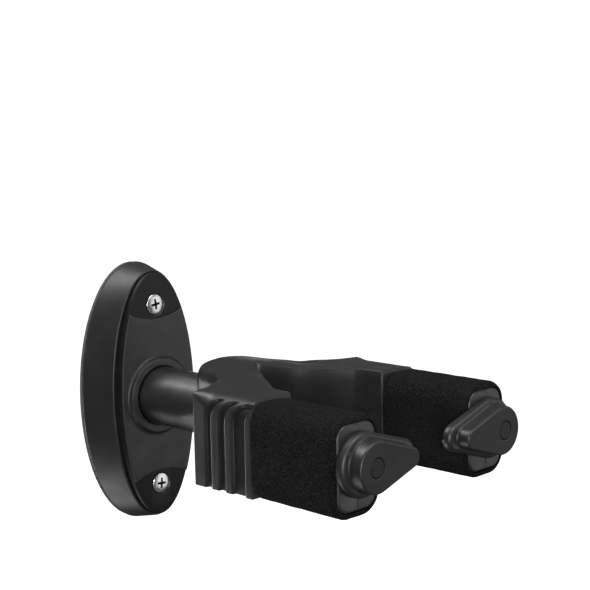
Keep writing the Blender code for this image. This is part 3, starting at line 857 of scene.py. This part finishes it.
def arm_half(label, part, side, away, grey):
    """Half of the arm's core: a long half shell with a rounded front edge, bored for the shaft."""
    x = side * ARM_X
    sign = away * side
    bm = bmesh.new()
    rings = []
    front = ARM_END + 0.2
    edge = 1.1
    steps = [(0.0, CORE_BACK), (0.0, front - edge)]
    steps += arc(edge, front - edge, edge, 180.0, 90.0, 5)
    for inset, out in steps:
        hw, hh, r = CORE_HW - inset, CORE_HH - inset, CORE_R - inset
        split = 0.12 + 0.35 * max(0.0, inset - 0.5)
        pts = [(split, -hh)]
        pts += arc(hw - r, -hh + r, r, -90.0, 0.0, 10)
        pts += arc(hw - r, hh - r, r, 0.0, 90.0, 10)
        pts.append((split, hh))
        rings.append([point(x + sign * px, out, ARM_Z + pz) for px, pz in pts])
    skin(bm, rings, False)
    half = piece("arm_core_" + part + "_" + label, bm, [grey], CORE_SHARP)
    cut(half, round_body([(4.7, 167.0), (4.7, front + 1.0)], x, SHAFT_Z, 48), CORE_SHARP)
    hw, hh = CORE_HW - SHELL_WALL, CORE_HH - SHELL_WALL
    bm = bmesh.new()
    skin(bm, [round_box(hw, hh, 3.0, out, x, ARM_Z, 48) for out in (132.1, 167.6)], False)
    cut(half, bm, CORE_SHARP)
    cut(half, round_body([(3.4, 127.0), (3.4, 133.0)], x, SHAFT_Z, 32), CORE_SHARP)
    cut(half, round_body([(1.6, 127.0), (1.6, 132.0)], x + sign * 3.2, -7.0, 16), CORE_SHARP)
    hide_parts("arm_shell_" + part + "_" + label)
    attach(half, "yoke")


# ---------------------------------------------------------------- latches
def teardrop(shape, grow, out, x, side):
    """Outline round a big circle near the pivot and a small one at the tip."""
    big, small, length, shift = shape
    r0 = big + grow
    r1 = small + grow
    tip = math.acos((r0 - r1) / (length - shift))
    ring = []
    quarter = TEAR_POINTS // 4
    for i in range(TEAR_POINTS):
        if i < quarter or i >= TEAR_POINTS - quarter:
            j = i if i < quarter else i - TEAR_POINTS
            a = tip * j / quarter
            cx, r = length, r1
        else:
            a = tip + (2.0 * math.pi - 2.0 * tip) * (i - quarter) / (TEAR_POINTS - 2 * quarter)
            cx, r = shift, r0
        ring.append(point(x + side * (cx + r * math.cos(a)), out, SHAFT_Z + r * math.sin(a)))
    return ring


def latch_ring(r, out, x, side):
    """Circle round the pivot with as many points as a teardrop, starting on the tip's side."""
    ring = []
    for i in range(TEAR_POINTS):
        a = 2.0 * math.pi * i / TEAR_POINTS
        ring.append(point(x + side * r * math.cos(a), out, SHAFT_Z + r * math.sin(a)))
    return ring


def latch(label, side, grey, wear_and_shade, dark):
    """Two-tier lever that points inwards at rest, and the round plug in its face."""
    x = side * ARM_X
    base = [(-0.9, LATCH_BACK)] + arc(-0.8, LATCH_BACK + 0.8, 0.8, -80.0, 0.0, 4)
    base += arc(-1.9, 172.7, 1.9, 0.0, 80.0, 10)
    upper = [(0.5, 174.65), (0.1, 175.1), (0.0, 175.8)]
    upper += arc(-0.9, LATCH_FACE - 0.9, 0.9, 0.0, 90.0, 8)
    upper += [(-1.05, LATCH_FACE), (-1.3, LATCH_FACE)]
    bore = [(4.4, LATCH_FACE), (4.0, LATCH_FACE), (PLUG_HOLE_R, LATCH_FACE - 0.15)]
    bore += [(PLUG_HOLE_R, PLUG_FLOOR), (LEVER_SCREW_R, PLUG_FLOOR)]
    bore += [(LEVER_SCREW_R, SHAFT_SEAT), (SHAFT_HOLE_R, SHAFT_SEAT)]
    rings = [latch_ring(SHAFT_HOLE_R, LATCH_BACK, x, -side)]
    rings += [teardrop(BASE_TEAR, grow, out, x, -side) for grow, out in base]
    rings += [teardrop(FACE_TEAR, grow, out, x, -side) for grow, out in upper]
    rings += [latch_ring(r, out, x, -side) for r, out in bore]
    bm = bmesh.new()
    skin(bm, rings, True)
    # Faces at the lever's front take the darker copy of the grey plastic: painted shade.
    for face in bm.faces:
        if -face.calc_center_median().y / MM > LATCH_FACE - 0.02:
            face.material_index = 1
    lever = piece("latch_arm_" + label, bm, [grey, wear_and_shade], 40.0)
    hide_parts("latch_lever_" + label)
    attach(lever, "latch_" + label)
    top = LATCH_FACE - 0.2
    steps = [(0.3, 178.6), (PLUG_R, 178.6), (PLUG_R, top - 0.25)]
    steps += arc(PLUG_R - 0.25, top - 0.25, 0.25, 0.0, 90.0, 4)
    steps += [(2.0, top), (0.3, top)]
    plug = piece("latch_cap_" + label, round_body(steps, x, SHAFT_Z, 72), [dark])
    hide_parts("latch_plug_" + label)
    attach(plug, "latch_" + label)


# ---------------------------------------------------------------- assembly
def tube(paint):
    """Tube from behind the plate's face to the yoke, with a rounded end."""
    inner = TUBE_R - TUBE_WALL
    span = TUBE_END - 1.0 - TUBE_START
    steps = [(TUBE_R, TUBE_START + span * i / 12) for i in range(13)]
    steps += [(TUBE_R - 0.4, TUBE_END - 0.3), (TUBE_R - 1.0, TUBE_END)]
    steps += [(inner, TUBE_END), (inner, TUBE_START)]
    pipe = piece("tube_pipe", round_body(steps, 0.0, 0.0, 160, closed=True), [paint])
    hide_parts("support_tube")
    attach(pipe, "wall_mount")


def finish_nodes(materials):
    """Give each CAD node the material of the first key in its name."""
    for name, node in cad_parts.items():
        node.material_slots[0].material = next(mat for key, mat in materials if key in name)


def main():
    """Camera, studio, materials, pieces, and the CAD nodes that stay as they are."""
    make_camera()
    make_stage()
    grey = plastic("grey_moulding", 0.014, 0.40)
    panel = plastic("panel_moulding", 0.014, 0.44)
    # Near-black plastic: painted shade in the plate's groove, on the panel's side wall and in the
    # screws' recesses; the plugs' own colour.
    dark = plastic("dark_moulding", 0.006, 0.50, wear=1.6, shine=0.25)
    # The lever's face: a darker, less shiny copy of the grey plastic, standing in as painted shade.
    wear_and_shade = plastic("lever_face", 0.011, 0.46, shine=0.20)
    acetal = plastic("acetal", 0.55, 0.50, wear=1.1, tint=(1.0, 0.985, 0.94))
    foam = foam_material()
    paint = tube_paint()
    zinc = metal("zinc_plate", 0.85, 0.26)
    steel = metal("oxide_steel", 0.18, 0.38)
    rubber = rubber_material()
    shell = plate_shell(grey, dark)
    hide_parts("wall_plate_cover")
    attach(shell, "wall_mount")
    face = plate_panel(panel, dark)
    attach(face, "wall_mount")
    wall_screw("screw_upper", "wall_screw_upper", 1.0, zinc, dark, math.radians(8.0))
    wall_screw("screw_lower", "wall_screw_lower", -1.0, zinc, dark, math.radians(-5.0))
    tube(paint)
    yoke(grey)
    for label, side in LEFT_RIGHT:
        foam_sleeve(label, side, foam)
        arm_half(label, "outer", side, 1.0, grey)
        arm_half(label, "inner", side, -1.0, grey)
        latch(label, side, grey, wear_and_shade, dark)
    kinds = [("pad", rubber), ("anchor", steel), ("plug", steel), ("bolt", steel)]
    kinds += [("washer", acetal), ("fork", acetal), ("bush", acetal), ("crank", acetal)]
    kinds += [("screw", zinc), ("pin", zinc), ("spring", zinc), ("shaft", zinc)]
    kinds += [("cover", dark), ("", grey)]
    finish_nodes(kinds)


main()
